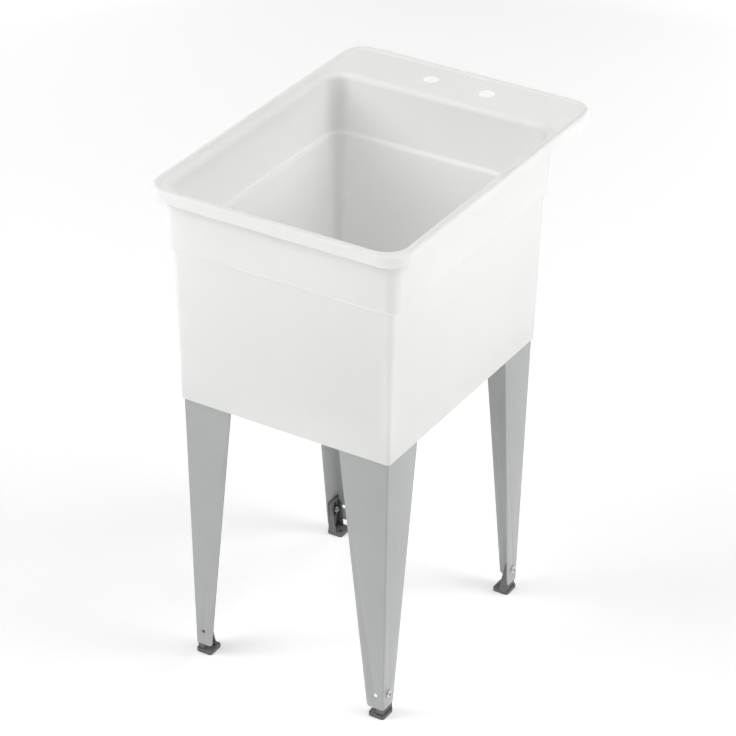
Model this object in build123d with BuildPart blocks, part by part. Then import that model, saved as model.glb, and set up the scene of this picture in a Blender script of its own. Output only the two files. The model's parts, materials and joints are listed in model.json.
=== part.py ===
"""Floor-standing utility laundry sink, millimetres.

Frame: X to the right, Y to the back (tap deck), Z up. The origin is on the
floor, under the middle of the rim's outline. The tub and its four legs are
centred on x = 0 and y = tub_y; the deck overhangs the back of the tub.
"""

from build123d import *

import math
import os

os.makedirs("parts", exist_ok=True)

# Overall sizes.
sink_width = 447.0
sink_depth = 610.0
rim_height = 860.0

# Rim: rolled outer bead, hanging lip and tap deck.
lip_height = 19.0
lip_draft = 2.4
lip_corner_radius = 41.0
lip_wall = 3.5
lip_edge_round = 1.2
bead_width = 10.0
bead_height = 4.5
bead_crest = 6.8
bead_outer_round = 4.3
bead_inner_round = 2.6
bead_crease_round = 2.0
deck_thickness = 3.5
rim_roll_radius = 10.0

# Tub: upper band, step and drafted lower body.
wall = 4.0
front_overhang = 21.6
side_overhang = 20.1
band_height = 91.6
band_taper = 0.5
band_corner_radius = 20.0
step_in = 7.8
step_round = 6.8
body_top_corner_radius = 13.0
body_draft = 7.6
tub_bottom = 485.4
tub_length = 487.4
bowl_band_radius = 32.0
bowl_body_radius = 27.0
ledge_round_in = 3.4
ledge_round_out = 4.4
floor_round = 18.0

# Bowl floor, and the skirt and leg sockets under it.
floor_level = 517.0
dish_radius = 150.0
dish_depth = 6.0
drain_seat_radius = 46.0
skirt_wall = 3.0
socket_rib = 3.0
socket_rib_length = 96.0
socket_setback = 4.0

# Tap holes.
tap_spacing = 101.6
tap_hole_diameter = 25.0
tap_to_back = 50.6
tap_seat_diameter = 44.0
tap_seat_web = 1.5

# Legs: tapered angle section of sheet steel, leaning in toward the floor.
leg_sheet = 1.5
leg_flange_at_tub = 87.2
leg_flange_at_end = 30.0
leg_end = 17.8
leg_lean = 7.1
leg_bend_radius = 3.0
leg_end_round = 7.0
leg_fit = 0.3

# Levelling feet, measured from the leg's outer corner.
foot_plate_width = 29.0
foot_plate_depth = 32.2
foot_plate_proud = 1.1
foot_plate_thickness = 6.5
foot_plate_corner = 5.0
foot_plate_round = 0.8
foot_wall = 3.0
foot_gap = 0.3
foot_top = 62.5
foot_wing_width = 31.0
foot_narrow_base = 15.0
foot_narrow_shoulder = 10.6
foot_narrow_tip = 5.0
foot_shoulder_drop = 12.0
foot_gusset_base = 17.0
foot_gusset_top = 5.5
foot_travel = 10.0
floor_screw_in = 20.0
floor_screw_diameter = 5.5

# Foot bolts and nuts.
bolt_in = 15.0
bolt_up = 43.0
bolt_diameter = 6.0
bolt_clearance = 0.3
slot_clearance = 0.5
bolt_head_diameter = 13.0
bolt_head_height = 3.6
bolt_head_round = 2.8
bolt_recess_width = 1.6
bolt_recess_length = 6.4
bolt_recess_depth = 1.8
bolt_end = 2.0
nut_flats = 10.0
nut_height = 5.0
nut_chamfer = 0.8
thread_gap = 0.05

# Drain fittings.
drain_flange_diameter = 82.0
drain_flange_thickness = 3.0
drain_flange_round = 2.0
drain_shank_diameter = 46.0
drain_bore_diameter = 38.0
drain_mouth_diameter = 43.0
drain_mouth_depth = 15.0
drain_length = 50.0
strainer_bar = 3.0
strainer_ring_diameter = 18.0
ring_gap = 0.3
gasket_diameter = 76.0
gasket_thickness = 3.0
friction_ring_diameter = 74.0
friction_ring_thickness = 1.0
locknut_diameter = 64.0
locknut_height = 10.0
locknut_lugs = 6
locknut_lug = 5.0
locknut_lug_width = 9.0
tail_diameter = 38.1
tail_wall = 1.7
tail_length = 117.0
tail_neck_depth = 0.4
tail_neck_past_nut = 3.6
tail_flange_diameter = 45.4
tail_flange_thickness = 2.0
tail_washer_thickness = 2.0
slip_nut_diameter = 55.0
slip_nut_height = 20.0
slip_nut_lip = 2.4
slip_nut_ribs = 8
slip_nut_rib_diameter = 5.0

# Stopper.
stopper_gap = 0.35
stopper_cap_diameter = 54.0
stopper_cap_thickness = 3.5
stopper_cap_round = 1.2
stopper_plug_height = 12.0
stopper_plug_draft = 2.0
stopper_loop_height = 16.0
stopper_loop_width = 18.0
stopper_loop_hole = 9.0
stopper_loop_thickness = 4.0

# Levels and positions that follow from the sizes above.
deck_level = rim_height - bead_height
deck_under = deck_level - deck_thickness
lip_bottom = rim_height - lip_height
step_level = lip_bottom - band_height
ledge_level = step_level + wall
floor_under = floor_level - wall
drain_level = floor_level - dish_depth
drain_under = floor_under - dish_depth
tub_y = -sink_depth / 2 + front_overhang + tub_length / 2
band_width = sink_width - 2 * side_overhang
body_width = band_width - 2 * step_in
body_length = tub_length - 2 * step_in
body_height = step_level - tub_bottom
body_taper = math.degrees(math.atan(body_draft / body_height))
bottom_width = body_width - 2 * body_draft
bottom_length = body_length - 2 * body_draft
bead_slope = math.degrees(math.atan((bead_width - bead_crest) / bead_height))
hole_y = sink_depth / 2 - tap_to_back
leg_inset = skirt_wall + leg_fit
leg_slope = leg_lean / (tub_bottom - leg_end)
leg_bend_inside = leg_bend_radius - leg_sheet
foot_near = leg_sheet + foot_gap
drain_top = drain_level + drain_flange_thickness
drain_end = drain_level - drain_length
drain_thread = drain_shank_diameter + 2 * thread_gap
middle_plane = Plane.XZ.offset(-tub_y)
corners = (
    ("front", "right"),
    ("front", "left"),
    ("back", "right"),
    ("back", "left"),
)


def move_to_corner(end, side):
    """Mirror the open part from the front right to the named corner."""
    if side == "left":
        mirror(about=Plane.YZ, mode=Mode.REPLACE)
    if end == "back":
        mirror(about=middle_plane, mode=Mode.REPLACE)


def ring(outer, inner, bottom, height):
    """Add a flat ring round the drain's axis, from its lower level up."""
    with BuildSketch(Plane.XY.offset(bottom)) as outline:
        with Locations((0, tub_y)):
            Circle(outer / 2)
            Circle(inner / 2, mode=Mode.SUBTRACT)
    extrude(outline.sketch, amount=height)


# The tub, one moulding. First the spaces that are taken out of it.
with BuildPart() as bead_space:
    with BuildSketch(Plane.XY.offset(deck_level)):
        RectangleRounded(
            sink_width - 2 * bead_width,
            sink_depth - 2 * bead_width,
            lip_corner_radius - bead_width,
        )
    extrude(amount=bead_height, taper=-bead_slope)

with BuildPart() as bowl_space:
    with BuildSketch(Plane.XY.offset(rim_height)):
        with Locations((0, tub_y)):
            RectangleRounded(
                band_width - 2 * wall,
                tub_length - 2 * wall,
                bowl_band_radius,
            )
    extrude(amount=ledge_level - rim_height, taper=band_taper)
    fillet(bowl_space.faces().sort_by(Axis.Z)[0].edges(), ledge_round_in)
    with BuildSketch(Plane.XY.offset(ledge_level)):
        with Locations((0, tub_y)):
            RectangleRounded(
                body_width - 2 * wall,
                body_length - 2 * wall,
                bowl_body_radius,
            )
    extrude(amount=floor_level - ledge_level, taper=body_taper)
    fillet(bowl_space.faces().sort_by(Axis.Z)[0].edges(), floor_round)
    step_edges = bowl_space.edges().filter_by_position(
        Axis.Z, ledge_level - 0.01, ledge_level + 0.01
    )
    fillet(step_edges.sort_by(Axis.X)[1:-1], ledge_round_out)
    with Locations((0, tub_y, floor_level - dish_depth / 2)):
        Cone(drain_seat_radius, dish_radius, dish_depth)

with BuildPart() as skirt_space:
    with BuildSketch(Plane.XY.offset(tub_bottom)):
        with Locations((0, tub_y)):
            RectangleRounded(
                bottom_width - 2 * skirt_wall,
                bottom_length - 2 * skirt_wall,
                leg_bend_radius,
            )
    extrude(amount=floor_under - tub_bottom, taper=-body_taper)
    with Locations((0, tub_y, floor_under - dish_depth / 2)):
        Cone(drain_seat_radius, dish_radius, dish_depth, mode=Mode.SUBTRACT)

with BuildPart() as rim_space:
    with BuildSketch(Plane.XY.offset(lip_bottom)):
        RectangleRounded(
            sink_width - 2 * lip_wall,
            sink_depth - 2 * lip_wall,
            lip_corner_radius - lip_wall,
        )
    extrude(amount=deck_under - lip_bottom, taper=lip_draft)
    with BuildSketch(Plane.XY.offset(lip_bottom)):
        with Locations((0, tub_y)):
            RectangleRounded(band_width, tub_length, band_corner_radius)
    extrude(amount=deck_under - lip_bottom, mode=Mode.SUBTRACT)
    under_deck = rim_space.faces().sort_by(Axis.Z)[-1]
    fillet(under_deck.inner_wires()[0].edges(), rim_roll_radius - deck_thickness)

# One leg socket: two ribs behind the leg's flanges, closed past their ends.
socket_x = bottom_width / 2 - leg_inset - leg_sheet - leg_fit
socket_y = tub_y - bottom_length / 2 + leg_inset + leg_sheet + leg_fit
socket_web = leg_sheet + 2 * leg_fit + skirt_wall / 2
with BuildPart() as sockets:
    with BuildSketch(Plane.XY.offset(tub_bottom + socket_setback)) as ribs:
        with Locations((socket_x, socket_y)):
            Rectangle(socket_rib_length, socket_rib, align=(Align.MAX, Align.MIN))
            Rectangle(socket_rib, socket_rib_length, align=(Align.MAX, Align.MIN))
        bend = ribs.vertices().group_by(Axis.Y)[0].sort_by(Axis.X)[-1]
        fillet(bend, max(leg_bend_inside - leg_fit, leg_fit))
        with Locations((socket_x - socket_rib_length, socket_y)):
            Rectangle(socket_rib, socket_web, align=(Align.MIN, Align.MAX))
        with Locations((socket_x, socket_y + socket_rib_length)):
            Rectangle(socket_web, socket_rib, align=(Align.MIN, Align.MAX))
    extrude(amount=floor_under + wall / 2 - tub_bottom - socket_setback)
    mirror(about=Plane.YZ)
    mirror(about=middle_plane)

with BuildPart() as tub:
    with BuildSketch(Plane.XY.offset(lip_bottom)):
        RectangleRounded(sink_width, sink_depth, lip_corner_radius)
    extrude(amount=lip_height, taper=lip_draft)
    fillet(tub.faces().sort_by(Axis.Z)[0].edges(), lip_edge_round)
    add(bead_space.part, mode=Mode.SUBTRACT)
    crest = tub.faces().sort_by(Axis.Z)[-1]
    fillet(crest.inner_wires()[0].edges(), bead_inner_round)
    crest = tub.faces().sort_by(Axis.Z)[-1]
    fillet(crest.outer_wire().edges(), bead_outer_round)
    deck = tub.faces().filter_by_position(Axis.Z, deck_level - 0.01, deck_level + 0.01)
    fillet(deck[0].outer_wire().edges(), bead_crease_round)
    with BuildSketch(Plane.XY.offset(lip_bottom)):
        with Locations((0, tub_y)):
            RectangleRounded(band_width, tub_length, band_corner_radius)
    extrude(amount=step_level - lip_bottom, taper=band_taper)
    fillet(tub.faces().sort_by(Axis.Z)[0].edges(), step_round)
    with BuildSketch(Plane.XY.offset(step_level)):
        with Locations((0, tub_y)):
            RectangleRounded(body_width, body_length, body_top_corner_radius)
    extrude(amount=tub_bottom - step_level, taper=body_taper)
    add(rim_space.part, mode=Mode.SUBTRACT)
    add(bowl_space.part, mode=Mode.SUBTRACT)
    deck = tub.faces().filter_by_position(Axis.Z, deck_level - 0.01, deck_level + 0.01)
    fillet(deck[0].inner_wires()[0].edges(), rim_roll_radius)
    add(skirt_space.part, mode=Mode.SUBTRACT)
    add(sockets.part)
    with Locations((0, hole_y, deck_level)):
        with GridLocations(tap_spacing, 0, 2, 1):
            Hole(tap_hole_diameter / 2, depth=deck_thickness)
    with BuildSketch(Plane.XY.offset(deck_under)):
        with Locations((0, hole_y)):
            with GridLocations(tap_spacing, 0, 2, 1):
                Circle(tap_seat_diameter / 2)
    extrude(amount=deck_thickness - tap_seat_web, mode=Mode.SUBTRACT)
    with Locations((0, tub_y, drain_level)):
        Hole(drain_shank_diameter / 2 + ring_gap, depth=wall)
tub.part.label = "tub"
export_step(tub.part, "parts/tub.step")


# Legs, feet, bolts and nuts are drawn at the front right corner. The corner
# frame has its origin on the floor at the leg's outer corner line, local Z up
# along that line, local X along the side flange and local Y along the front.
def leg_corner(level):
    """Outer corner of the front right leg at a level."""
    inset = leg_inset + leg_slope * (tub_bottom - level)
    return bottom_width / 2 - inset, tub_y - bottom_length / 2 + inset


def leg_section(level):
    """Angle section of the front right leg at a level."""
    growth = (leg_flange_at_tub - leg_flange_at_end) / (tub_bottom - leg_end)
    flange = leg_flange_at_end + growth * (level - leg_end)
    with BuildSketch(Plane.XY.offset(level)) as section:
        with Locations(leg_corner(level)):
            Rectangle(flange, flange, align=(Align.MAX, Align.MIN))
        outside = section.vertices().group_by(Axis.Y)[0].sort_by(Axis.X)[-1]
        fillet(outside, leg_bend_radius)
        with BuildSketch(Plane.XY, mode=Mode.SUBTRACT) as inside:
            with Locations(leg_corner(level)):
                with Locations((-leg_sheet, leg_sheet)):
                    Rectangle(flange, flange, align=(Align.MAX, Align.MIN))
            bend = inside.vertices().group_by(Axis.Y)[0].sort_by(Axis.X)[-1]
            fillet(bend, leg_bend_inside)
    return section.sketch


corner = Plane(
    origin=(*leg_corner(0), 0),
    x_dir=(0, 1, 0),
    z_dir=(leg_slope, -leg_slope, 1),
)
bolt_plane = Plane(
    corner.from_local_coords((bolt_in, 0, bolt_up)),
    x_dir=corner.x_dir,
    z_dir=corner.y_dir,
)
spare_hole_plane = Plane(
    corner.from_local_coords((0, bolt_in, bolt_up)),
    x_dir=corner.y_dir,
    z_dir=corner.x_dir,
)
wing_plane = Plane(
    corner.from_local_coords((0, foot_near, 0)),
    x_dir=corner.x_dir,
    z_dir=-corner.y_dir,
)
narrow_plane = Plane(
    corner.from_local_coords((foot_near, 0, 0)),
    x_dir=corner.y_dir,
    z_dir=corner.x_dir,
)

for end, side in corners:
    with BuildPart() as leg:
        loft([leg_section(leg_end), leg_section(floor_under)], ruled=True)
        end_edges = leg.faces().sort_by(Axis.Z)[0].edges().filter_by(GeomType.LINE)
        fillet(end_edges.sort_by(SortBy.LENGTH)[:2], leg_end_round)
        with BuildSketch(bolt_plane, spare_hole_plane):
            Circle(bolt_diameter / 2 + bolt_clearance)
        extrude(amount=leg_bend_radius, both=True, mode=Mode.SUBTRACT)
        move_to_corner(end, side)
    leg.part.label = f"leg_{end}_{side}"
    export_step(leg.part, f"parts/leg_{end}_{side}.step")

for end, side in corners:
    with BuildPart() as foot:
        # Base plate on the floor.
        plate_x = corner.origin.X + foot_plate_proud - foot_plate_width / 2
        plate_y = corner.origin.Y - foot_plate_proud + foot_plate_depth / 2
        with BuildSketch(Plane.XY):
            with Locations((plate_x, plate_y)):
                RectangleRounded(foot_plate_width, foot_plate_depth, foot_plate_corner)
        extrude(amount=foot_plate_thickness)
        rims = foot.edges().group_by(Axis.Z)
        fillet(rims[0] + rims[-1], foot_plate_round)
        # Upright angle: a slotted wing, a narrow wing and a slanting gusset.
        with BuildSketch(wing_plane):
            with Locations((foot_near, foot_plate_thickness / 2)):
                Rectangle(
                    foot_wing_width - foot_near,
                    foot_top - foot_plate_thickness / 2,
                    align=(Align.MIN, Align.MIN),
                )
            with Locations((bolt_in, bolt_up)):
                SlotCenterToCenter(
                    2 * foot_travel,
                    bolt_diameter + 2 * slot_clearance,
                    rotation=90,
                    mode=Mode.SUBTRACT,
                )
        extrude(amount=-foot_wall)
        with BuildSketch(narrow_plane):
            with BuildLine():
                Polyline(
                    (foot_near, foot_plate_thickness / 2),
                    (foot_narrow_base, foot_plate_thickness / 2),
                    (foot_narrow_shoulder, foot_top - foot_shoulder_drop),
                    (
                        foot_narrow_tip,
                        foot_top
                        - foot_shoulder_drop
                        + foot_narrow_shoulder
                        - foot_narrow_tip,
                    ),
                    (foot_narrow_tip, foot_top),
                    (foot_near, foot_top),
                    close=True,
                )
            make_face()
        extrude(amount=foot_wall)
        with BuildSketch(narrow_plane.offset(foot_wing_width - foot_near)):
            with BuildLine():
                Polyline(
                    (foot_near, foot_plate_thickness / 2),
                    (foot_gusset_base, foot_plate_thickness / 2),
                    (foot_gusset_top, foot_top),
                    (foot_near, foot_top),
                    close=True,
                )
            make_face()
        extrude(amount=-foot_wall)
        uprights = foot.edges().filter_by(Axis(corner.origin, corner.z_dir))
        fillet(
            uprights.sort_by_distance(corner.origin)[0],
            max(leg_bend_inside - foot_gap, foot_gap),
        )
        # The base plate's hole for a floor screw.
        with Locations(
            (
                corner.origin.X - floor_screw_in,
                corner.origin.Y + floor_screw_in,
                foot_plate_thickness,
            )
        ):
            Hole(floor_screw_diameter / 2, depth=foot_plate_thickness)
        move_to_corner(end, side)
    foot.part.label = f"foot_{end}_{side}"
    export_step(foot.part, f"parts/foot_{end}_{side}.step")

nut_near = foot_near + foot_wall + foot_gap
for end, side in corners:
    with BuildPart() as bolt:
        with BuildSketch(bolt_plane):
            Circle(bolt_head_diameter / 2)
        extrude(amount=-bolt_head_height)
        dome_edge = bolt.edges().sort_by(Axis.X)[-1]
        fillet(dome_edge, bolt_head_round)
        with BuildSketch(bolt_plane.offset(-bolt_head_height)):
            Rectangle(bolt_recess_length, bolt_recess_width)
            Rectangle(bolt_recess_width, bolt_recess_length)
        extrude(amount=bolt_recess_depth, mode=Mode.SUBTRACT)
        with BuildSketch(bolt_plane):
            Circle(bolt_diameter / 2)
        extrude(amount=nut_near + nut_height + bolt_end)
        move_to_corner(end, side)
    bolt.part.label = f"foot_bolt_{end}_{side}"
    export_step(bolt.part, f"parts/foot_bolt_{end}_{side}.step")

    with BuildPart() as nut:
        with BuildSketch(bolt_plane.offset(nut_near)):
            Circle(nut_flats / math.sqrt(3))
        extrude(amount=nut_height)
        chamfer(nut.edges().filter_by(GeomType.CIRCLE), nut_chamfer)
        with BuildSketch(bolt_plane.offset(nut_near)):
            RegularPolygon(nut_flats / 2, 6, major_radius=False)
            Circle(bolt_diameter / 2 + thread_gap, mode=Mode.SUBTRACT)
        extrude(amount=nut_height, mode=Mode.INTERSECT)
        move_to_corner(end, side)
    nut.part.label = f"foot_nut_{end}_{side}"
    export_step(nut.part, f"parts/foot_nut_{end}_{side}.step")

# Drain: flanged body through the tub's floor, clamped from below.
with BuildPart() as drain_body:
    ring(
        drain_flange_diameter,
        drain_mouth_diameter,
        drain_level,
        drain_flange_thickness,
    )
    flange_edge = drain_body.edges().group_by(Axis.Z)[-1].sort_by(SortBy.LENGTH)[-1]
    fillet(flange_edge, drain_flange_round)
    ring(drain_shank_diameter, drain_bore_diameter, drain_end, drain_length)
    with Locations((0, tub_y, drain_top)):
        Hole(drain_mouth_diameter / 2, depth=drain_mouth_depth)
    strainer_level = drain_top - drain_mouth_depth - strainer_bar
    bar_length = (drain_bore_diameter + drain_shank_diameter) / 2
    with BuildSketch(Plane.XY.offset(strainer_level)):
        with Locations((0, tub_y)):
            Rectangle(bar_length, strainer_bar)
            Rectangle(strainer_bar, bar_length)
            Circle(strainer_ring_diameter / 2)
            Circle(strainer_ring_diameter / 2 - strainer_bar, mode=Mode.SUBTRACT)
            Rectangle(strainer_ring_diameter, strainer_bar)
            Rectangle(strainer_bar, strainer_ring_diameter)
    extrude(amount=strainer_bar)
drain_body.part.label = "drain_body"
export_step(drain_body.part, "parts/drain_body.step")

gasket_level = drain_under - gasket_thickness
with BuildPart() as drain_gasket:
    ring(
        gasket_diameter,
        drain_shank_diameter + 2 * ring_gap,
        gasket_level,
        gasket_thickness,
    )
drain_gasket.part.label = "drain_gasket"
export_step(drain_gasket.part, "parts/drain_gasket.step")

friction_ring_level = gasket_level - friction_ring_thickness
with BuildPart() as drain_friction_ring:
    ring(
        friction_ring_diameter,
        drain_shank_diameter + 2 * ring_gap,
        friction_ring_level,
        friction_ring_thickness,
    )
drain_friction_ring.part.label = "drain_friction_ring"
export_step(drain_friction_ring.part, "parts/drain_friction_ring.step")

locknut_level = friction_ring_level - locknut_height
with BuildPart() as drain_locknut:
    ring(locknut_diameter, drain_thread, locknut_level, locknut_height)
    with BuildSketch(Plane.XY.offset(locknut_level)):
        with Locations((0, tub_y)):
            with PolarLocations(locknut_diameter / 2, locknut_lugs):
                Rectangle(2 * locknut_lug, locknut_lug_width)
    extrude(amount=locknut_height)
drain_locknut.part.label = "drain_locknut"
export_step(drain_locknut.part, "parts/drain_locknut.step")

tail_bore = tail_diameter - 2 * tail_wall
washer_level = drain_end - tail_washer_thickness
with BuildPart() as tailpiece_washer:
    ring(tail_flange_diameter, tail_bore, washer_level, tail_washer_thickness)
tailpiece_washer.part.label = "tailpiece_washer"
export_step(tailpiece_washer.part, "parts/tailpiece_washer.step")

tail_flange_level = washer_level - tail_flange_thickness
tail_end = tail_flange_level - tail_length
slip_nut_level = tail_flange_level - slip_nut_lip
tail_neck_level = slip_nut_level - tail_neck_past_nut
with BuildPart() as drain_tailpiece:
    ring(tail_flange_diameter, tail_bore, tail_flange_level, tail_flange_thickness)
    ring(
        tail_diameter - 2 * tail_neck_depth,
        tail_bore,
        tail_neck_level,
        tail_flange_level - tail_neck_level,
    )
    ring(tail_diameter, tail_bore, tail_end, tail_neck_level - tail_end)
drain_tailpiece.part.label = "drain_tailpiece"
export_step(drain_tailpiece.part, "parts/drain_tailpiece.step")

with BuildPart() as slip_nut:
    ring(slip_nut_diameter, drain_thread, slip_nut_level, slip_nut_height)
    ring(
        slip_nut_diameter,
        tail_diameter + 2 * ring_gap,
        slip_nut_level,
        slip_nut_lip,
    )
    with BuildSketch(Plane.XY.offset(slip_nut_level)):
        with Locations((0, tub_y)):
            with PolarLocations(slip_nut_diameter / 2, slip_nut_ribs):
                Circle(slip_nut_rib_diameter / 2)
    extrude(amount=slip_nut_height)
    with Locations((0, tub_y, slip_nut_level + slip_nut_height)):
        Hole(drain_thread / 2, depth=slip_nut_height - slip_nut_lip)
slip_nut.part.label = "slip_nut"
export_step(slip_nut.part, "parts/slip_nut.step")

# Stopper: a tapered rubber plug under a cap with a finger loop.
stopper_level = drain_top + stopper_gap
with BuildPart() as stopper:
    with BuildSketch(Plane.XY.offset(stopper_level)):
        with Locations((0, tub_y)):
            Circle(stopper_cap_diameter / 2)
    extrude(amount=stopper_cap_thickness)
    fillet(stopper.edges().group_by(Axis.Z)[-1], stopper_cap_round)
    plug_radius = drain_mouth_diameter / 2 - stopper_gap
    with Locations((0, tub_y, stopper_level - stopper_plug_height / 2)):
        Cone(plug_radius - stopper_plug_draft, plug_radius, stopper_plug_height)
    loop_level = stopper_level + stopper_cap_thickness
    with BuildSketch(middle_plane):
        with Locations((0, loop_level)):
            Rectangle(
                stopper_loop_width,
                stopper_loop_height - stopper_loop_width / 2,
                align=(Align.CENTER, Align.MIN),
            )
        with Locations((0, loop_level + stopper_loop_height - stopper_loop_width / 2)):
            Circle(stopper_loop_width / 2)
            Circle(stopper_loop_hole / 2, mode=Mode.SUBTRACT)
    extrude(amount=stopper_loop_thickness / 2, both=True)
stopper.part.label = "stopper"
export_step(stopper.part, "parts/stopper.step")
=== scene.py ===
"""Looks of the utility laundry sink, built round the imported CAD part.

Lengths are in metres: X to the right, Y to the back, Z up, with the floor at 0.
"""

import json
import math

import bmesh
import bpy
from mathutils import Matrix, Vector


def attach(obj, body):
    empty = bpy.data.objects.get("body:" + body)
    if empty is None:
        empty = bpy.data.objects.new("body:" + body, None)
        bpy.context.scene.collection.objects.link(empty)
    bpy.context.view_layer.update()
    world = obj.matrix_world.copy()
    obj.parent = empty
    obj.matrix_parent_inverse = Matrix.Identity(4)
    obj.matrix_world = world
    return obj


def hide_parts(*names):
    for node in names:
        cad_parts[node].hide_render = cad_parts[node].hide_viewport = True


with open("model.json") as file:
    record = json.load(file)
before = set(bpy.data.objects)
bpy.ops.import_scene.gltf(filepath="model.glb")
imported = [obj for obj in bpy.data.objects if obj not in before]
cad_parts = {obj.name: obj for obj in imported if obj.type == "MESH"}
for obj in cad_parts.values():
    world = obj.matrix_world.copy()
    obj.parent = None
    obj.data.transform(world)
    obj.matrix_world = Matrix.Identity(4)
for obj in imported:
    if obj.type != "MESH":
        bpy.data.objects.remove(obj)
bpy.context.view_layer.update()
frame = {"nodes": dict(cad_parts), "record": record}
scene = bpy.context.scene
nodes = frame["nodes"]

MM = 0.001
ENDS = ("front", "back")
SIDES = ("left", "right")
CORNERS = [f"{end}_{side}" for end in ENDS for side in SIDES]

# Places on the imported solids: Y of the drain's axis, the level of the bowl's
# underside, and how far the foot bolts tilt up towards the sink's middle.
DRAIN_Y = -39.7 * MM
BOWL_UNDERSIDE = 513.0 * MM
BOLT_TILT = math.radians(0.87)

# The tub's plastic: how far light spreads in it, how much of it spreads in the
# skirt, and how far above the bowl's underside it reaches its full share.
MILK_REACH = 9.0 * MM
SKIRT_MILK = 0.1
MILK_RISE = 30.0 * MM

# The camera that the photograph was taken with: lens and picture in pixels,
# sensor in millimetres.
PICTURE_WIDTH = 736
FOCAL_PIXELS = 2965.7
SENSOR = 36.0
AZIMUTH = math.radians(30.93)
ELEVATION = math.radians(30.64)
ROLL = math.radians(0.563)
TARGET = Vector((0.0038, -0.0244, 0.4765))
DISTANCE = 4.6989
NEAREST, FARTHEST = 0.1, 60.0

# Studio light. Each softbox: azimuth from the front towards the right and
# elevation, in degrees, and power in watts.
SOFTBOX_DISTANCE = 3.6
SOFTBOX_SIZE = 2.2
SOFTBOXES = {
    "front_left": (-40, 38, 35.9),
    "front_right": (31, 38, 17.0),
    "left": (-60, 38, 37.5),
    "right": (110, 38, 50.0),
    "right_high": (90, 62, 19.6),
    "back_left_low": (-125, 12, 20.5),
    "back_low": (170, 12, 29.5),
}
# The surround's brightness as a light, and as the camera sees it.
SURROUND_STRENGTH = 0.05
BACKDROP_STRENGTH = 1.0
# The floor's own glow: from this near to this far from the middle, and the
# brightness at each.
FLOOR_SIZE = 60.0
GLOW_REACH = (2.5, 4.2)
GLOW_STRENGTH = (0.235, 1.0)
WHITE = (1.0, 1.0, 1.0)

# Screw threads: crest radius, pitch, depth of the ridge and steps in a turn.
BOLT_THREAD = (3.12 * MM, 1.0 * MM, 0.32 * MM, 24)
DRAIN_THREAD = (23.4 * MM, 2.2 * MM, 0.9 * MM, 72)
# The ridge's width at its foot and at its crest, as shares of the pitch.
RIDGE_FOOT, RIDGE_CREST = 0.9, 0.14
# What is seen of each thread: the bolt's inner end, and the drain's shank.
BOLT_THREAD_LENGTH = 11.4 * MM
BOLT_PLAIN_END = 0.5 * MM
DRAIN_THREAD_LEVELS = (462.0 * MM, 500.0 * MM)
# Points this near to a bolt's tip, along X, belong to its end face.
END_FACE_REACH = 0.2 * MM

# Edges rolled over on copies of the nodes: points closer than MERGE are one,
# faces that turn less than FLAT are one, and edges over SHARP are rolled.
MERGE = 0.001 * MM
FLAT = math.radians(0.3)
SHARP = math.radians(35)
LEG_EDGE = 0.3 * MM
MOULDED_EDGE = 0.8 * MM


# --- Node helpers ------------------------------------------------------------


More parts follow.
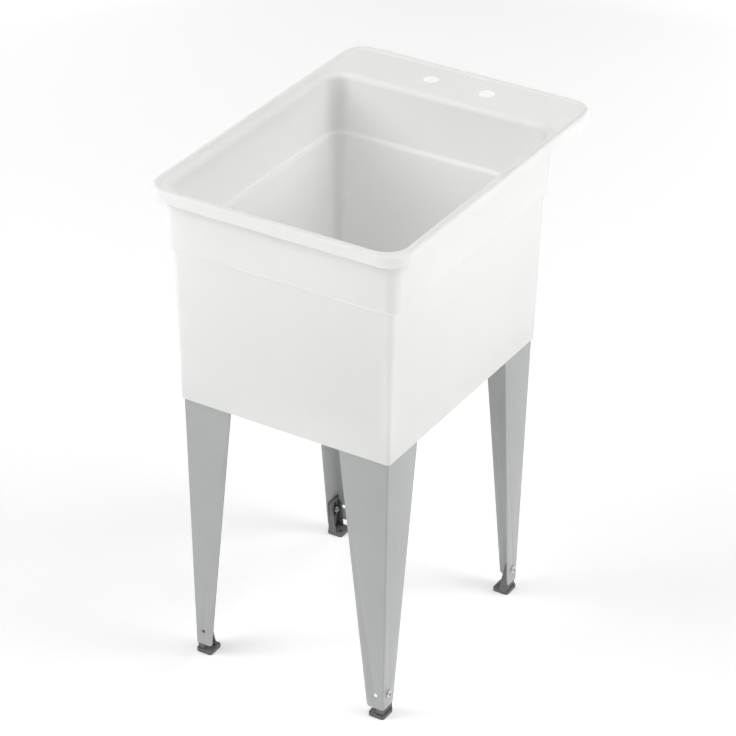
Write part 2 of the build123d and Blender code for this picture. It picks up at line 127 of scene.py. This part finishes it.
class Finish:
    """A Principled material and the few node patterns that the finishes share."""

    def __init__(self, name, color, roughness, metallic=0.0, **sockets):
        self.material = bpy.data.materials.new(name)
        self.material.use_nodes = True
        self.tree = self.material.node_tree
        self.shader = self.tree.nodes["Principled BSDF"]
        self.shader.inputs["Base Color"].default_value = (*color, 1.0)
        self.shader.inputs["Roughness"].default_value = roughness
        self.shader.inputs["Metallic"].default_value = metallic
        for socket, value in sockets.items():
            self.shader.inputs[socket.replace("_", " ")].default_value = value
        self.place = self.tree.nodes.new("ShaderNodeTexCoord").outputs["Object"]

    def node(self, kind, **settings):
        """A new node with its properties set."""
        made = self.tree.nodes.new(kind)
        for name, value in settings.items():
            setattr(made, name, value)
        return made

    def link(self, output, socket):
        self.tree.links.new(output, socket)

    def stretched(self, scale):
        """Object coordinates scaled along each axis, for grain and streaks."""
        mapping = self.node("ShaderNodeMapping")
        mapping.inputs["Scale"].default_value = scale
        self.link(self.place, mapping.inputs["Vector"])
        return mapping.outputs["Vector"]

    def noise(self, scale, detail=2.0, roughness=0.5, vector=None, distortion=0.0):
        """Fractal noise from 0 to 1; scale counts features in a metre."""
        made = self.node("ShaderNodeTexNoise")
        made.inputs["Scale"].default_value = scale
        made.inputs["Detail"].default_value = detail
        made.inputs["Roughness"].default_value = roughness
        made.inputs["Distortion"].default_value = distortion
        self.link(self.place if vector is None else vector, made.inputs["Vector"])
        return made.outputs["Fac"]

    def rings(self, scale):
        """Fine noise that runs in circles about the drain's upright axis."""
        away = self.node("ShaderNodeVectorMath", operation="SUBTRACT")
        self.link(self.place, away.inputs[0])
        away.inputs[1].default_value = (0.0, DRAIN_Y, 0.0)
        level = self.node("ShaderNodeVectorMath", operation="MULTIPLY")
        self.link(away.outputs["Vector"], level.inputs[0])
        level.inputs[1].default_value = (1.0, 1.0, 0.0)
        radius = self.node("ShaderNodeVectorMath", operation="LENGTH")
        self.link(level.outputs["Vector"], radius.inputs[0])
        line = self.node("ShaderNodeCombineXYZ")
        self.link(radius.outputs["Value"], line.inputs["X"])
        along = line.outputs["Vector"]
        return self.noise(scale, detail=3.0, roughness=0.7, vector=along)

    def cells(self, scale):
        """Distance from the middle of each cell of a pattern, for flecks."""
        made = self.node("ShaderNodeTexVoronoi")
        made.inputs["Scale"].default_value = scale
        self.link(self.place, made.inputs["Vector"])
        return made.outputs["Distance"]

    def spread(self, value, low, high, out_low, out_high):
        """A value moved from one range into another, clamped."""
        made = self.node("ShaderNodeMapRange", clamp=True)
        self.link(value, made.inputs["Value"])
        for name, number in zip(
            ("From Min", "From Max", "To Min", "To Max"),
            (low, high, out_low, out_high),
        ):
            made.inputs[name].default_value = number
        return made.outputs["Result"]

    def patches(self, noise, low=0.35, high=0.65):
        """Noise spread out to run from 0 to 1, so that two tones part clearly."""
        return self.spread(noise, low, high, 0.0, 1.0)

    def mixed(self, factor, first, second):
        """A colour between two, each a colour or another node's output."""
        made = self.node("ShaderNodeMix", data_type="RGBA")
        self.link(factor, made.inputs["Factor"])
        for socket, color in ((made.inputs[6], first), (made.inputs[7], second)):
            if isinstance(color, tuple):
                socket.default_value = (*color, 1.0)
            else:
                self.link(color, socket)
        return made.outputs[2]

    def product(self, first, second):
        made = self.node("ShaderNodeMath", operation="MULTIPLY")
        self.link(first, made.inputs[0])
        self.link(second, made.inputs[1])
        return made.outputs["Value"]

    def shade_in_hollows(self, reach):
        """1 in a tight inner corner and 0 on open faces: the mask for painted shade."""
        made = self.node("ShaderNodeAmbientOcclusion", samples=8)
        made.inputs["Distance"].default_value = reach
        return self.spread(made.outputs["AO"], 0.2, 0.9, 1.0, 0.0)

    def height(self, low, high, out_low, out_high):
        """A value that follows the height above the floor."""
        split = self.node("ShaderNodeSeparateXYZ")
        self.link(self.place, split.inputs[0])
        return self.spread(split.outputs["Z"], low, high, out_low, out_high)

    def rounded(self, radius):
        """The surface's normal with its sharp edges rolled over."""
        made = self.node("ShaderNodeBevel", samples=6)
        made.inputs["Radius"].default_value = radius
        return made.outputs["Normal"]

    def edges(self, radius):
        """1 along an edge and 0 on open faces, broken up by fine noise."""
        face = self.node("ShaderNodeNewGeometry").outputs["Normal"]
        facing = self.node("ShaderNodeVectorMath", operation="DOT_PRODUCT")
        self.link(self.rounded(radius), facing.inputs[0])
        self.link(face, facing.inputs[1])
        edge = self.spread(facing.outputs["Value"], 0.8, 0.99, 1.0, 0.0)
        wear = self.noise(350.0, detail=3.0, roughness=0.6)
        return self.product(edge, self.spread(wear, 0.35, 0.65, 0.2, 1.0))

    def color(self, output):
        self.link(output, self.shader.inputs["Base Color"])

    def gloss(self, noise, smooth, rough, low=0.3, high=0.7):
        """Roughness that a noise moves between two values."""
        roughness = self.spread(noise, low, high, smooth, rough)
        self.link(roughness, self.shader.inputs["Roughness"])

    def relief(self, *layers, start=None):
        """Bump layers of (height, strength, distance in metres), coarse first."""
        normal = start
        for height, strength, distance in layers:
            bump = self.node("ShaderNodeBump")
            bump.inputs["Strength"].default_value = strength
            bump.inputs["Distance"].default_value = distance
            self.link(height, bump.inputs["Height"])
            if normal is not None:
                self.link(normal, bump.inputs["Normal"])
            normal = bump.outputs["Normal"]
        self.link(normal, self.shader.inputs["Normal"])


# --- Finishes ----------------------------------------------------------------


def moulded_white(name):
    """White moulded plastic, milky right through, with the mould's fine pebble."""
    color, shade = (0.87, 0.87, 0.858), (0.85, 0.85, 0.838)
    made = Finish(
        name,
        color,
        0.55,
        IOR=1.49,
        Specular_IOR_Level=0.3,
        Subsurface_Radius=WHITE,
        Subsurface_Scale=MILK_REACH,
    )
    # The skirt round the legs is denser than the bowl, so the legs don't show.
    milk = made.height(BOWL_UNDERSIDE, BOWL_UNDERSIDE + MILK_RISE, SKIRT_MILK, 1.0)
    made.link(milk, made.shader.inputs["Subsurface Weight"])
    clouds = made.patches(made.noise(5.0, detail=3.0))
    made.color(made.mixed(clouds, color, shade))
    smears = made.noise(26.0, detail=4.0, roughness=0.6, distortion=0.6)
    made.gloss(smears, 0.49, 0.63)
    made.relief(
        (made.noise(9.0), 0.12, 4.0 * MM),
        (made.noise(1400.0, detail=1.0), 0.10, 0.2 * MM),
    )
    return made.material


def powder_coat(name):
    """Light grey powder coat on bent sheet: orange peel and faint rubs."""
    color, shade = (0.44, 0.453, 0.449), (0.424, 0.437, 0.433)
    rubbed, bare = (0.51, 0.52, 0.515), (0.55, 0.56, 0.555)
    made = Finish(name, color, 0.42, IOR=1.5, Coat_Weight=0.8, Coat_Roughness=0.3)
    clouds = made.patches(made.noise(14.0, detail=3.0))
    tone = made.mixed(clouds, color, shade)
    streaks = made.noise(
        220.0, detail=5.0, roughness=0.7, vector=made.stretched((1, 1, 0.08))
    )
    rubs = made.spread(streaks, 0.66, 0.74, 0.0, 0.35)
    worn = made.mixed(rubs, tone, rubbed)
    made.color(made.mixed(made.edges(0.6 * MM), worn, bare))
    made.gloss(made.noise(60.0, detail=4.0), 0.34, 0.5)
    made.relief(
        (made.noise(450.0, detail=1.0), 0.16, 0.3 * MM),
        (made.noise(1900.0, detail=1.0), 0.08, 0.1 * MM),
    )
    return made.material


def foot_grey(name):
    """Dark grey glass-filled plastic: speckled, pale at worn edges, with painted shade
    darkening its corners and gaps.
    """
    dark, light = (0.1, 0.103, 0.1), (0.22, 0.225, 0.22)
    scuffed, painted_shade = (0.3, 0.305, 0.3), (0.035, 0.035, 0.034)
    made = Finish(name, (0.15, 0.155, 0.15), 0.5, IOR=1.5)
    specks = made.noise(450.0, detail=4.0, roughness=0.75)
    tone = made.mixed(made.patches(specks, 0.38, 0.62), dark, light)
    worn = made.mixed(made.edges(0.5 * MM), tone, scuffed)
    # Painted shade: the AO mask darkens the corners and the gaps between the foot's
    # parts.
    made.color(made.mixed(made.shade_in_hollows(9.0 * MM), worn, painted_shade))
    made.gloss(made.noise(300.0, detail=3.0), 0.42, 0.62)
    pebble = made.noise(1300.0, detail=2.0)
    made.relief((pebble, 0.35, 0.3 * MM), start=made.rounded(0.4 * MM))
    return made.material


def zinc(name):
    """Bright zinc plate, a little uneven, with painted shade darkening its tightest
    corners.
    """
    dull, bright, recess_shade = (0.6, 0.61, 0.62), (0.74, 0.745, 0.75), (0.2, 0.2, 0.2)
    made = Finish(name, (0.66, 0.67, 0.68), 0.28, metallic=1.0)
    plated = made.mixed(made.noise(240.0, detail=3.0), dull, bright)
    # Painted shade: the tightest corners round the bolt head are darkened by the AO
    # mask.
    made.color(made.mixed(made.shade_in_hollows(1.5 * MM), plated, recess_shade))
    made.gloss(made.noise(900.0, detail=3.0), 0.2, 0.36)
    made.relief((made.noise(2600.0, detail=1.0), 0.1, 0.1 * MM))
    return made.material


def satin_steel(name):
    """Stainless steel, turned in fine rings and dulled by water, with painted shade in
    its recesses.
    """
    dull, bright = (0.52, 0.515, 0.5), (0.66, 0.655, 0.64)
    recess_shade = (0.2, 0.2, 0.195)
    made = Finish(name, (0.6, 0.59, 0.575), 0.28, metallic=1.0)
    turned = made.rings(1500.0)
    tone = made.mixed(turned, dull, bright)
    # Painted shade: the AO mask darkens the steel's recesses.
    made.color(made.mixed(made.shade_in_hollows(4.0 * MM), tone, recess_shade))
    film = made.noise(38.0, detail=3.0)
    made.gloss(film, 0.22, 0.36, low=0.35, high=0.65)
    made.relief((turned, 0.25, 0.05 * MM))
    return made.material


def rubber(name, color):
    """Black moulded rubber with a chalky bloom."""
    chalk = tuple(3.0 * c for c in color)
    made = Finish(name, color, 0.62, IOR=1.5)
    dust = made.noise(130.0, detail=5.0, roughness=0.65)
    bloom = made.spread(dust, 0.45, 0.75, 0.0, 0.5)
    made.color(made.mixed(bloom, color, chalk))
    made.gloss(made.noise(420.0, detail=2.0), 0.52, 0.74)
    made.relief((made.noise(1500.0, detail=2.0), 0.2, 0.2 * MM))
    return made.material


def pressed_fibre(name):
    """Brown pressed fibre ring, flecked."""
    dark, light = (0.22, 0.14, 0.075), (0.36, 0.25, 0.15)
    made = Finish(name, (0.3, 0.2, 0.11), 0.8)
    flecks = made.patches(made.cells(900.0), 0.1, 0.6)
    made.color(made.mixed(flecks, dark, light))
    made.relief((made.noise(1200.0, detail=3.0), 0.4, 0.3 * MM))
    return made.material


def fitting_white(name):
    """Glossier white plastic of the waste fittings."""
    color, shade = (0.72, 0.72, 0.7), (0.66, 0.66, 0.64)
    made = Finish(name, color, 0.3, IOR=1.5)
    made.color(made.mixed(made.noise(40.0, detail=3.0), color, shade))
    made.gloss(made.noise(160.0, detail=4.0), 0.24, 0.42)
    made.relief((made.noise(900.0, detail=1.0), 0.06, 0.2 * MM))
    return made.material


TUB_WHITE = moulded_white("tub_plastic")
LEG_GREY = powder_coat("leg_paint")
FOOT_GREY = foot_grey("foot_plastic")
ZINC = zinc("bolt_steel")
STEEL = satin_steel("drain_steel")
BLACK_RUBBER = rubber("drain_rubber", (0.018, 0.018, 0.019))
FIBRE = pressed_fibre("drain_fibre")
FITTING_WHITE = fitting_white("fitting_plastic")
STOPPER_RUBBER = rubber("stopper_rubber", (0.022, 0.022, 0.023))

FINISH_OF_SLOT = {
    "tub_plastic": TUB_WHITE,
    "leg_paint": LEG_GREY,
    "foot_plastic": FOOT_GREY,
    "bolt_steel": ZINC,
    "drain_steel": STEEL,
    "drain_rubber": BLACK_RUBBER,
    "drain_fibre": FIBRE,
    "fitting_plastic": FITTING_WHITE,
    "stopper_rubber": STOPPER_RUBBER,
}


def finish_nodes():
    """Give each CAD node the finish of its slot in the record."""
    for entry in frame["record"]["subparts"]:
        node = nodes[entry["node"]]
        node.data.materials.clear()
        node.data.materials.append(FINISH_OF_SLOT[entry["material_slot"]])


finish_nodes()


# --- Detailed pieces -----------------------------------------------------------


class Rule:
    """A Geometry Nodes tree with named inputs, run once to give a plain mesh."""

    def __init__(self, name, **kinds):
        self.name = name
        self.tree = bpy.data.node_groups.new(name, "GeometryNodeTree")
        ports = self.tree.interface
        for label, kind in kinds.items():
            ports.new_socket(label, in_out="INPUT", socket_type=f"NodeSocket{kind}")
        ports.new_socket("Mesh", in_out="OUTPUT", socket_type="NodeSocketGeometry")
        self.given = self.tree.nodes.new("NodeGroupInput").outputs
        self.result = self.tree.nodes.new("NodeGroupOutput").inputs["Mesh"]

    def node(self, kind, settings=None, **inputs):
        """The output of a new node, whose inputs are values or other outputs.

        An input is named by its label, or by its number after an underscore.
        """
        made = self.tree.nodes.new(kind)
        for name, value in (settings or {}).items():
            setattr(made, name, value)
        for name, value in inputs.items():
            numbered = name.startswith("_")
            key = int(name[1:]) if numbered else name.replace("_", " ")
            socket = made.inputs[key]
            if isinstance(value, bpy.types.NodeSocket):
                self.tree.links.new(value, socket)
            else:
                socket.default_value = value
        return made.outputs[0]

    def math(self, operation, first, second):
        return self.node("ShaderNodeMath", {"operation": operation}, _0=first, _1=second)

    def run(self, seeds, **values):
        """The plain mesh that the tree makes from the seed points."""
        holder = bpy.data.objects.new(self.name, seeds)
        scene.collection.objects.link(holder)
        modifier = holder.modifiers.new(self.name, "NODES")
        modifier.node_group = self.tree
        for port in self.tree.interface.items_tree:
            if port.in_out == "INPUT" and port.name in values:
                modifier[port.identifier] = values[port.name]
        return plain_mesh(holder)


def plain_mesh(holder):
    """The evaluated mesh of an object that is then removed."""
    graph = bpy.context.evaluated_depsgraph_get()
    mesh = bpy.data.meshes.new_from_object(holder.evaluated_get(graph))
    holder.modifiers.clear()
    bpy.data.objects.remove(holder)
    return mesh


def seed_points(name, places, axes):
    """Points without faces, each with the direction that its instance takes."""
    mesh = bpy.data.meshes.new(name)
    mesh.from_pydata(places, [], [])
    axis = mesh.attributes.new("axis", "FLOAT_VECTOR", "POINT")
    for number, direction in enumerate(axes):
        axis.data[number].vector = direction
    return mesh


def screw_thread():
    """A right-hand ridge wound round each seed point's axis."""
    rule = Rule(
        "screw_thread",
        Points="Geometry",
        Crest="Float",
        Pitch="Float",
        Depth="Float",
        Turns="Float",
        Steps="Int",
        Finish="Material",
    )
    given = rule.given
    half_depth = rule.math("MULTIPLY", given["Depth"], 0.5)
    middle = rule.math("SUBTRACT", given["Crest"], half_depth)
    helix = rule.node(
        "GeometryNodeCurveSpiral",
        Resolution=given["Steps"],
        Rotations=given["Turns"],
        Start_Radius=middle,
        End_Radius=middle,
        Height=rule.math("MULTIPLY", given["Pitch"], given["Turns"]),
        Reverse=True,
    )
    upright = rule.node("GeometryNodeSetCurveNormal", {"mode": "Z_UP"}, Curve=helix)
    ridge = rule.node(
        "GeometryNodeCurvePrimitiveQuadrilateral",
        {"mode": "TRAPEZOID"},
        Height=given["Depth"],
        Bottom_Width=rule.math("MULTIPLY", given["Pitch"], RIDGE_FOOT),
        Top_Width=rule.math("MULTIPLY", given["Pitch"], RIDGE_CREST),
        Offset=0.0,
    )
    turned = rule.node(
        "GeometryNodeTransform", Geometry=ridge, Rotation=(0.0, 0.0, math.pi / 2)
    )
    wound = rule.node(
        "GeometryNodeCurveToMesh", Curve=upright, Profile_Curve=turned, Fill_Caps=True
    )
    axis = rule.node(
        "GeometryNodeInputNamedAttribute", {"data_type": "FLOAT_VECTOR"}, Name="axis"
    )
    aimed = rule.node("FunctionNodeAlignRotationToVector", {"axis": "Z"}, Vector=axis)
    placed = rule.node(
        "GeometryNodeInstanceOnPoints",
        Points=given["Points"],
        Instance=wound,
        Rotation=aimed,
    )
    real = rule.node("GeometryNodeRealizeInstances", Geometry=placed)
    finished = rule.node(
        "GeometryNodeSetMaterial", Geometry=real, Material=given["Finish"]
    )
    rule.tree.links.new(finished, rule.result)
    return rule


def wind(rule, name, thread, starts, axes, length, finish):
    """The mesh of one size of thread, wound from each start along its axis."""
    crest, pitch, depth, steps = thread
    return rule.run(
        seed_points(name, starts, axes),
        Crest=crest,
        Pitch=pitch,
        Depth=depth,
        Turns=length / pitch,
        Steps=steps,
        Finish=finish,
    )


def add_piece(name, mesh, body, slot, *replaced):
    """Link a finished mesh, say what it rides on and what it stands for."""
    mesh.name = name
    mesh.materials.clear()
    mesh.materials.append(FINISH_OF_SLOT[slot])
    made = bpy.data.objects.new(name, mesh)
    scene.collection.objects.link(made)
    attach(made, body)
    if replaced:
        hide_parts(*replaced)
    return made


def bolt_end(corner):
    """Middle of a foot bolt's inner end, and the way that its shank points."""
    points = [vertex.co.copy() for vertex in nodes[f"foot_bolt_{corner}"].data.vertices]
    inward = -1.0 if corner.endswith("right") else 1.0
    tip = max(inward * point.x for point in points)
    end = [point for point in points if tip - inward * point.x < END_FACE_REACH]
    middle = sum(end, Vector()) / len(end)
    return middle, Vector((inward * math.cos(BOLT_TILT), 0.0, math.sin(BOLT_TILT)))


def threads():
    """Threads of the four foot bolts and of the drain's shank."""
    rule = screw_thread()
    ends = [bolt_end(corner) for corner in CORNERS]
    starts = [end - BOLT_THREAD_LENGTH * axis for end, axis in ends]
    axes = [axis for _, axis in ends]
    length = BOLT_THREAD_LENGTH - BOLT_PLAIN_END
    mesh = wind(rule, "bolt_ends", BOLT_THREAD, starts, axes, length, ZINC)
    add_piece("foot_bolt_threads", mesh, "sink", "bolt_steel")
    low, high = DRAIN_THREAD_LEVELS
    starts = [(0.0, DRAIN_Y, low)]
    axes = [(0.0, 0.0, 1.0)]
    mesh = wind(rule, "drain_shank", DRAIN_THREAD, starts, axes, high - low, STEEL)
    add_piece("drain_thread", mesh, "sink", "drain_steel")


def rolled_edges(name, body, slot, width):
    """A copy of a node with its sharp edges rolled over, in the node's place."""
    shape = bmesh.new()
    shape.from_mesh(nodes[name].data)
    bmesh.ops.remove_doubles(shape, verts=shape.verts, dist=MERGE)
    bmesh.ops.dissolve_limit(
        shape, angle_limit=FLAT, verts=shape.verts, edges=shape.edges
    )
    mesh = bpy.data.meshes.new(name)
    shape.to_mesh(mesh)
    shape.free()
    holder = bpy.data.objects.new(name, mesh)
    scene.collection.objects.link(holder)
    bevel = holder.modifiers.new("edges", "BEVEL")
    bevel.width = width
    bevel.segments = 2
    bevel.limit_method = "ANGLE"
    bevel.angle_limit = SHARP
    bevel.use_clamp_overlap = False
    finished = plain_mesh(holder)
    finished.shade_smooth()
    finished.set_sharp_from_angle(angle=SHARP)
    add_piece(f"{name}_formed", finished, body, slot, name)


threads()
for corner in CORNERS:
    rolled_edges(f"leg_{corner}", "sink", "leg_paint", LEG_EDGE)
rolled_edges("drain_locknut", "sink", "fitting_plastic", MOULDED_EDGE)
rolled_edges("slip_nut", "sink", "fitting_plastic", MOULDED_EDGE)
rolled_edges("stopper", "stopper", "stopper_rubber", MOULDED_EDGE)


# --- Studio ------------------------------------------------------------------


def outward(azimuth, elevation):
    """The direction from the sink's middle towards a camera or a light."""
    level = math.cos(elevation)
    return Vector(
        (math.sin(azimuth) * level, -math.cos(azimuth) * level, math.sin(elevation))
    )


def camera():
    """Put the camera where the photograph was taken from."""
    back = outward(AZIMUTH, ELEVATION)
    turn = (-back).to_track_quat("-Z", "Y").to_matrix() @ Matrix.Rotation(ROLL, 3, "Z")
    data = bpy.data.cameras.new("camera")
    data.sensor_width = SENSOR
    data.lens = FOCAL_PIXELS / PICTURE_WIDTH * SENSOR
    data.clip_start = NEAREST
    data.clip_end = FARTHEST
    eye = bpy.data.objects.new("camera", data)
    eye.matrix_world = Matrix.Translation(TARGET + back * DISTANCE) @ turn.to_4x4()
    scene.collection.objects.link(eye)
    scene.camera = eye


def softbox(name, azimuth, elevation, power):
    """A square area light that faces the sink's middle."""
    data = bpy.data.lights.new(name, "AREA")
    data.shape = "SQUARE"
    data.size = SOFTBOX_SIZE
    data.energy = power
    lamp = bpy.data.objects.new(name, data)
    back = outward(math.radians(azimuth), math.radians(elevation))
    lamp.location = TARGET + back * SOFTBOX_DISTANCE
    lamp.rotation_euler = (-back).to_track_quat("-Z", "Y").to_euler()
    scene.collection.objects.link(lamp)


def floor_white():
    """White floor that glows more further out, so it stays pale all round."""
    pale = Finish(
        "floor_white",
        WHITE,
        0.9,
        Specular_IOR_Level=0.2,
        Emission_Color=(*WHITE, 1.0),
    )
    reach = pale.node("ShaderNodeVectorMath", operation="LENGTH")
    pale.link(pale.place, reach.inputs[0])
    glow = pale.spread(reach.outputs["Value"], *GLOW_REACH, *GLOW_STRENGTH)
    pale.link(glow, pale.shader.inputs["Emission Strength"])
    return pale.material


def studio():
    """Plain pale floor, an even pale surround and large softboxes."""
    bpy.ops.mesh.primitive_plane_add(size=FLOOR_SIZE, location=(0, 0, 0))
    floor = bpy.context.object
    floor.name = "floor"
    floor.data.materials.append(floor_white())
    world = bpy.data.worlds.new("surround")
    world.use_nodes = True
    tree = world.node_tree
    surround = tree.nodes["Background"]
    surround.inputs["Color"].default_value = (*WHITE, 1.0)
    # The backdrop looks pale, and lights the sink only faintly.
    paths = tree.nodes.new("ShaderNodeLightPath")
    seen = tree.nodes.new("ShaderNodeMapRange")
    tree.links.new(paths.outputs["Is Camera Ray"], seen.inputs["Value"])
    seen.inputs["To Min"].default_value = SURROUND_STRENGTH
    seen.inputs["To Max"].default_value = BACKDROP_STRENGTH
    tree.links.new(seen.outputs["Result"], surround.inputs["Strength"])
    scene.world = world
    for name, (azimuth, elevation, power) in SOFTBOXES.items():
        softbox(name, azimuth, elevation, power)
    scene.view_settings.view_transform = "Standard"
    scene.view_settings.look = "None"


camera()
studio()
